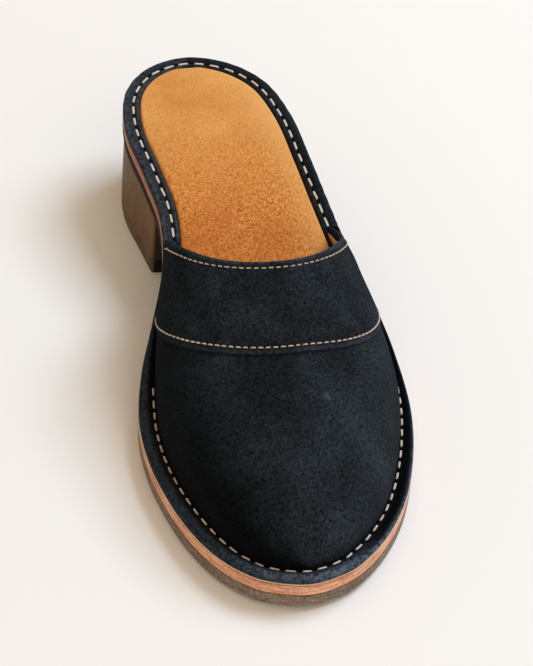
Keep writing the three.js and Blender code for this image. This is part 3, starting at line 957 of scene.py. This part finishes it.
def painted_shade_of_upper(share):
    """Painted shade: black on the flange's inner slope and on the outer flange behind the toe, in its
    stitched groove between two stitches, and in the crease, with the wall's painted shade over the arch.
    """
    steps = flange_steps[None, :-1]
    seam = bell(steps, STITCH_SHARE, 0.1)
    slope = {INNER: 0.85 * ease_between(steps, 0.42, 0.75)}
    shaded = 0.95 * ease_between(steps, 0.08, 0.3)
    slope[OUTER] = np.maximum(slope[INNER], shaded * (1 - ease_between(share[:, -1:], 0.8, 0.94)))
    wings = {}
    for side, column in ((INNER, slice(0, 1)), (OUTER, slice(-1, None))):
        pulled = stitch_pull(seam_arc(side, share[:, column]), FLANGE_PITCH)
        wings[side] = np.maximum(seam * (0.9 - 0.5 * pulled), slope[side])
    # Painted shade over the arch, darkest on the inner wall.
    arch = painted_wall_shade(arch_side, arch_angle, 0.85)[None, :] + 0 * share
    return np.concatenate([wings[INNER], arch, wings[OUTER][:, ::-1]], axis=1)


face, values = upper_grid(under=False)
points, faces = skin(face, upper_grid(under=True), close_end=False)
make_piece("suede_upper", points, faces, suede, "navy_suede", values, replaces=("upper",))

# %% [markdown]
# ## Lining and the cream edge
# Inside the suede is a thin tan lining, seen only at the mouth of the shoe. Under the flange its raw edge
# shows as a cream line between suede and midsole. Both are skins between two distances from the same arch
# and the same outline.

# %% Lining and cream edge
lining_share = upper_start + (1 - upper_start) * np.linspace(0, 1, 90)[:, None]


def above_footbed(u):
    return footbed(u) + 0.1


outside = in_frame(*arch_point(arch_side, lining_share, arch_angle, -SUEDE_SKIN - 0.1, above_footbed))
inside = in_frame(*arch_point(arch_side, lining_share, arch_angle, -WALL, above_footbed))
points, faces = skin(outside, inside, close_end=False)
make_piece("leather_lining", points, faces, lining, "insole_leather")


def band_round_toe(start, inset, depth, under, over, stations=420):
    """Strip round the forepart from one side to the other, with a four-cornered section, softly rounded."""
    half = np.linspace(0, 1, stations)
    corner = [(0.12, 0), (0, 0.25), (0, 0.75), (0.12, 1), (1, 1), (1, 0)]
    rings = []
    for across, rise in corner:
        lines = []
        for side in (INNER, OUTER):
            share = start[side] + (1 - start[side]) * half
            u, v = inset_point(side, share, inset + depth * across)
            z = under(u) + (over(u) - under(u)) * rise
            lines.append(in_frame(u, v, z))
        rings.append(np.concatenate([lines[0], lines[1][-2::-1]]))
    grid = np.stack(rings, axis=1)
    numbers = ring_grid(*grid.shape[:2], close_columns=True)
    ends = [quads(np.stack([numbers[row, :3], numbers[row, [5, 4, 3]]])) for row in (0, -1)]
    return grid.reshape(-1, 3), np.concatenate([quads(numbers), *ends])


edge_start = shares_at(COLLAR[0] + 3.0)
for name, finish, slot, inset, depth, low, high in (
    ("cream_edge", cream, "insole_leather", -0.03, 2.3, 0.28, CREAM),
    ("cement_line", glue, "stained_leather", 0.5, 1.8, 0.02, 0.27),
):
    under, over = (lambda u, height=height: footbed(u) + height for height in (low, high))
    make_piece(name, *band_round_toe(edge_start, inset, depth, under, over), finish, slot)

# %% [markdown]
# ## Band over the instep
# A second piece of suede lies over the instep. Its back edge is the collar, folded over the edge of the
# upper to a round bead, and its front edge is cut and stitched down. Its section along the sole is one
# closed outline: the bead, the outer face, the rounded front edge, and the inner face back to the bead.
# Each point of that outline has a place between the two cuts and a distance from the upper's face.

# %% Instep band
BEAD = 1.1
BEAD_FACE = 0.95
BAND_FACE = BOND + BAND
BAND_EDGE = 1.0


def band_outline(face_steps=46):
    """Rows of the band's section: share of the way between the cuts, step from the nearer cut, distance
    from the upper's face. The face rises from the bead over the first third and sinks to the front edge."""
    around = np.linspace(np.pi, 0, 14)
    bead = [(0.0, BEAD * (1 - np.sin(a)), BEAD_FACE - BEAD + BEAD * np.cos(a)) for a in around]
    face = []
    for t in np.linspace(0, 1, face_steps)[1:]:
        rise = BEAD_FACE + (BAND_FACE - BEAD_FACE) * ease_between(t, 0, 0.3)
        face.append((t, BEAD * (1 - t) - 0.5 * t, rise - (BAND_FACE - BAND_EDGE) * ease_between(t, 0.85, 1)))
    nose = np.linspace(0, np.pi / 2, 5)[1:]
    front = [(1.0, -0.5 * (1 - np.sin(a)), BAND_EDGE - 0.5 * (1 - np.cos(a))) for a in nose]
    under = [(1.0, 0.0, BOND), (0.75, 0.0, BOND), (0.5, 0.0, BOND), (0.25, 0.0, BOND), (0.0, BEAD, BOND)]
    return np.array(bead + face + front + under)


section = band_outline()
share_between, step, distance = (column[:, None] for column in section.T)
stretch = blend(collar_stretch, band_stretch, share_between)
along_band = blend(collar_u, band_u, share_between) + step * stretch
band_share = share_at(arch_side, along_band)
low_down = 1 - ease_between(arch_angle, 0.1, 0.9)
thinner = 1 - 0.5 * low_down * ease_between(share_between, 0.0, 0.5)
bu, bv, _ = arch_point(arch_side, band_share, arch_angle, 0.0, flange_top)
swell = 0.5 * worn_in(bu, bv) * ease_between(distance, BOND, BEAD_FACE)


def on_flange(u):
    return flange_top(u) + 0.15


band_points = in_frame(*arch_point(arch_side, band_share, arch_angle, distance * thinner + swell, on_flange))
rows, columns = band_points.shape[:2]
numbers = ring_grid(rows, columns, close_rows=True)
half = rows // 2
end_caps = []
for column in (0, columns - 1):
    line = numbers[:rows, column]
    end_caps.append(quads(np.stack([line[:half], line[: rows - half - 1 : -1]])))
points, faces = band_points.reshape(-1, 3), np.concatenate([quads(numbers), *end_caps])
# Wear with painted highlight along the front edge and on the collar bead, and painted shade on the wall.
edges = np.exp(-(((share_between - 1) * 45) / 1.6) ** 2) + 1.8 * (share_between == 0) * (distance > 0.3)
values = {"wear": 0.14 * edges, "deep": painted_wall_shade(arch_side, arch_angle, 0.6)}
values = {key: np.broadcast_to(value, (rows, columns)) for key, value in values.items()}
make_piece("suede_band", points, faces, suede, "navy_suede", values, replaces=("instep_band",))

# %% [markdown]
# ## Rim strip
# A narrow strip of the same suede is stitched round the edge of the seat. Each stitch pulls it down, and
# between two stitches it swells, so its height follows a wave along the row of stitches. Its ends narrow
# and pass under the collar.

# %% Rim strip
RIM_PITCH = 6.4
RIM_SEAM = 4.1
RIM_TUCK = 14.0
LEAN = 0.6
rim_butt = shares_at(COLLAR[0] - 1.2, COLLAR[0] + COLLAR[1] - 1.2)
rim_end = shares_at(COLLAR[0] + RIM_TUCK)
half = np.linspace(0, 1, 330)
rim_share = np.concatenate([rim_end[INNER] * (1 - half), rim_end[OUTER] * half[1:]])
rim_side = np.repeat([INNER, OUTER], [len(half), len(half) - 1])
rim_arc = arc_along(np.stack(inset_point(rim_side, rim_share, RIM_SEAM), axis=-1))
butt_share = by_side(rim_side, rim_butt[OUTER], rim_butt[INNER])
tucked = ease_between((rim_share - butt_share) * SOLE_LENGTH, 0.0, 1.6)
inside_wall = flange_width(rim_side, rim_share) + WALL + LEAN


def rim_height(depth, pulled):
    """Over the footbed: a rounded outer edge, two low ridges with the stitched groove between, and a rounded
    inner edge."""
    height = SUEDE + edge_round(depth, EDGE_RADIUS) + edge_round(RIM - depth, 0.9)
    height += 0.5 * np.sin(np.pi * np.clip(depth / RIM_SEAM, 0, 1))
    height += 0.4 * np.sin(np.pi * np.clip((depth - RIM_SEAM) / (RIM - RIM_SEAM), 0, 1))
    return height - (0.4 + 0.4 * pulled) * bell(depth, RIM_SEAM, 0.8)


edge_steps = np.linspace(0, 0.9, 6)
depths = np.concatenate([edge_steps, np.linspace(1.2, RIM - 1.1, 14), np.linspace(RIM - 0.9, RIM, 6)])
inset = inside_wall[:, None] + (RIM - inside_wall[:, None]) * depths / RIM
inset = blend(depths, inset, tucked[:, None])
pulled = stitch_pull(rim_arc, RIM_PITCH)[:, None]
lump = 0.1 + 0.06 * np.sin(rim_arc / 11.0)[:, None]
wobble = lump * (1 - pulled) * bell(depths, 0, 1.6) * (1 - tucked[:, None])
ru, rv = inset_point(rim_side[:, None], rim_share[:, None], inset - wobble + 0.12)
low_grid = in_frame(ru, rv, footbed(ru) + 0.02)
top_grid = in_frame(ru, rv, footbed(ru) + rim_height(depths, pulled) * (1 - 0.15 * tucked[:, None]))
points, faces = skin(top_grid, low_grid)
# Wear with painted highlight on the strip's two crests, more on the inner side.
rubbed_and_lit = 0.16 + 0.3 * bell(depths, 0.8, 0.9) + 0.2 * bell(depths, RIM - 0.6, 0.6)
rubbed_and_lit = rubbed_and_lit * by_side(rim_side, 0.4, 1.0)[:, None]
# Painted shade: black in the stitched groove between stitches, and darker along the outer side.
deep = bell(depths, RIM_SEAM, 0.7) * (0.9 - 0.5 * pulled)
deep = np.maximum(deep, by_side(rim_side, 0.35, 0.0)[:, None])
values = on_face(wear=rubbed_and_lit, deep=deep)
make_piece("suede_rim", points, faces, suede, "navy_suede", values, replaces=("rim_strip",))

# %% [markdown]
# ## Footbed
# The footbed lies inside the rim strip and runs on under the upper to the toe. It is pressed down a little
# by the heel and the ball of the foot, and rounded at its rim. Rungs cross it from side to side; each rung
# is a flat crown with its two ends rounded down.

# %% Footbed
INSIDE_RIM = RIM + 0.25
bed_share = np.linspace(0, 1, 200)[:, None]
near_edge = np.linspace(0, 0.05, 7)
across = np.concatenate([near_edge[:-1], np.linspace(0.05, 0.95, 60), np.linspace(0.95, 1, 7)[1:]])


def bed_inset(side, share):
    """Inside the rim strip, and inside the wall in front of the strip's ends, joined by an S-curve."""
    u = inset_point(side, share, 0.0)[0]
    strip_end = COLLAR[0] + by_side(side, COLLAR[1], 0) + RIM_TUCK
    past = ease_between(u, strip_end, strip_end + RIM_TUCK)
    inside_upper = flange_width(side, share) + WALL + LEAN
    return INSIDE_RIM + (np.maximum(inside_upper, INSIDE_RIM * (1 - past)) - INSIDE_RIM) * past


(iu, iv), (ou, ov) = (inset_point(side, bed_share, bed_inset(side, bed_share)) for side in (INNER, OUTER))
fu, fv = blend(iu, ou, across), blend(iv, ov, across)
rim_distance = np.minimum(across, 1 - across) * np.hypot(ou - iu, ov - iv)
rim_distance = np.minimum(rim_distance, np.maximum(fu - RIM - 0.25, 0) + 0.05)
heel_dish = np.exp(-(((fu - 38) / 26) ** 2) - (((fv - 1) / 19) ** 2))
ball_dish = np.exp(-(((fu - 178) / 24) ** 2) - (((fv + 8) / 26) ** 2))
crown = INSOLE - 0.1 - 0.5 * heel_dish - 0.5 * ball_dish + edge_round(rim_distance, 1.6)
top_grid = in_frame(fu, fv, footbed(fu) + crown)
low_grid = in_frame(fu, fv, footbed(fu) + 0.02)
points, faces = skin(top_grid, low_grid, close_start=False, close_end=False)
outer_border = ease_between(across, 0.5, 0.7)
near_rim = blend(ease_between(rim_distance, 0.1, 0.9), ease_between(rim_distance, 1, 9), outer_border)
roughened = ease_between(fu + 0.25 * np.abs(fv), 14, 100) * (0.5 + 0.5 * near_rim)
walked = ease_between(fu - 0.5 * fv, 72, 118)
pressed_width = 1.4 + 8.6 * outer_border * ease_between(fu, 10, 40)
forward_of_heel = (0.95 - 0.45 * outer_border) * ease_between(fu, 25, 80)
pressed_rim = bell(rim_distance, 0, pressed_width) * (1 - forward_of_heel)
values = {"rough": roughened, "pressed": pressed_rim, "walked": walked}
values = {key: np.tile(value, 2) for key, value in values.items()}
make_piece("leather_footbed", points, faces, tan_hide, "insole_leather", values, replaces=("insole",))

# %% [markdown]
# ## Stitches
# A stitch is a short length of thread that rises out of one hole, lies on the leather and goes into the
# next. One small tube stands for each, placed along the seam's line at an even pitch, with its middle line
# carried up along the leather's own normal. All stitches of a seam are worked out at once, as one array.

# %% Stitches
rng = np.random.default_rng(7)


def stitches(name, line, pitch, length, thickness, normal=(0.0, 0.0, 1.0), arc=None, worn=0.0):
    """Tubes along a seam, one at each whole multiple of the pitch. Along the tube the middle line lies flat
    and dips into the leather over its last sixth; round it the section is an ellipse, a little flat."""
    arc = arc_along(line) if arc is None else arc
    normal = np.broadcast_to(normal, line.shape)
    middle = pitch * np.arange(np.ceil((arc[0] + length / 2) / pitch), (arc[-1] - length / 2) // pitch + 1)
    number = len(middle)
    middle = middle + rng.normal(0, 0.015 * pitch, number)
    t = np.linspace(0, 1, 13)
    along = middle[:, None] + length * rng.normal(1, 0.05, (number, 1)) * (t - 0.5)
    centre = np.stack([np.interp(along, arc, line[:, k]) for k in range(3)], axis=-1)
    up_way = unit(np.stack([np.interp(along, arc, normal[:, k]) for k in range(3)], axis=-1))
    sideways = unit(np.cross(unit(np.gradient(centre, axis=1)), up_way))
    slant = rng.normal(0, 0.04, (number, 1, 1)) * length * (t[None, :, None] - 0.5)
    rise = ease_between(np.sin(np.pi * t), 0, 0.5)
    radius = thickness / 2 * (0.45 + 0.55 * rise)
    lift = thickness * (0.45 * rise - 0.5 * (1 - rise))
    around = np.linspace(0, 2 * np.pi, 9)[:-1]
    middle_line = centre + up_way * lift[None, :, None] + sideways * slant
    upward = 0.75 * np.cos(around)[None, None, :, None] * up_way[:, :, None]
    ring = upward + np.sin(around)[None, None, :, None] * sideways[:, :, None]
    tube = middle_line[:, :, None] + radius[None, :, None, None] * ring
    per_stitch = len(t) * len(around)
    numbers = ring_grid(len(t), len(around), close_columns=True)
    ends = [quads(np.stack([numbers[row, :4], numbers[row, 7:3:-1]])) for row in (0, -1)]
    faces = np.concatenate([quads(numbers), *ends])
    faces = (faces[None] + per_stitch * np.arange(number)[:, None, None]).reshape(-1, 4)
    uv = np.stack(np.broadcast_arrays(t[:, None] * length * 1.1, around[None, :] / 6.28), axis=-1)
    uv = np.broadcast_to(uv, (number, len(t), len(around), 2)).reshape(-1, 2)
    # Painted shade on this seam's thread, 0 where there is none.
    values = {"worn": np.full(tube.size // 3, worn)}
    make_piece(name, tube.reshape(-1, 3) / 1000, faces, thread, "insole_leather", values, uv=uv)
    print(name, number, "stitches")


def in_shoe_frame(u, v, z):
    """Shoe sizes to the model's directions, still in millimetres."""
    return 1000 * in_frame(u, v, z)


seen = rim_share < butt_share + 0.012
tucked_seam = inside_wall + (RIM - inside_wall) * RIM_SEAM / RIM
ru, rv = (values[seen] for values in inset_point(rim_side, rim_share, blend(RIM_SEAM, tucked_seam, tucked)))
rim_line = in_shoe_frame(ru, rv, footbed(ru) + rim_height(RIM_SEAM, 1.0) * (1 - 0.15 * tucked[seen]))
stitches("rim_stitches", rim_line, RIM_PITCH, length=5.0, thickness=1.0, arc=rim_arc[seen])

first = shares_at(149.0, 160.0)
half = np.linspace(0, 1, 700)
seam_share = np.concatenate([first[INNER] + (1 - first[INNER]) * half, 1 - (1 - first[OUTER]) * half[1:]])
seam_side = np.repeat([INNER, OUTER], [len(half), len(half) - 1])
seam_width = flange_width(seam_side, seam_share)
seam_depth = STITCH_SHARE * seam_width
su, sv = inset_point(seam_side, seam_share, seam_depth)
seam_z = flange_top(su) + flange_relief(seam_depth, seam_width, seam_depth, 1.0)
flange_line = in_shoe_frame(su, sv, seam_z)
seam_place = seam_arc(seam_side, seam_share)
stitches("flange_stitches", flange_line, FLANGE_PITCH, length=4.3, thickness=0.9, arc=seam_place)


def seam_on_band(between, step_from, side_stretch, face_distance):
    """Line on the band's face at a step from a cut, and the face's normal along it."""
    u = blend(collar_u, band_u, between) + step_from * side_stretch
    share = share_at(arch_side, u)
    tu, tv, _ = arch_point(arch_side, share, arch_angle, 0.0, flange_top)
    low = 1 - 0.5 * low_down * ease_between(np.full_like(u, between), 0.0, 0.5)
    offset = face_distance * low + 0.5 * worn_in(tu, tv)
    line = in_shoe_frame(*arch_point(arch_side, share, arch_angle, offset, on_flange))
    ahead = in_shoe_frame(*arch_point(arch_side, share + 2e-3, arch_angle, offset, on_flange)) - line
    normal = unit(np.cross(ahead, np.gradient(line, axis=0)))
    return line, normal * np.sign(normal[len(normal) // 2, 2])


# The collar and band stitches carry painted shade.
fine = {"pitch": 2.65, "length": 1.95}
line, normal = seam_on_band(0.0, 3.1, collar_stretch, 1.0)
stitches("collar_stitches", line, thickness=0.56, normal=normal, worn=0.45, **fine)
line, normal = seam_on_band(1.0, -2.3, band_stretch, 1.3)
stitches("band_stitches", line, thickness=0.58, normal=normal, worn=0.25, **fine)
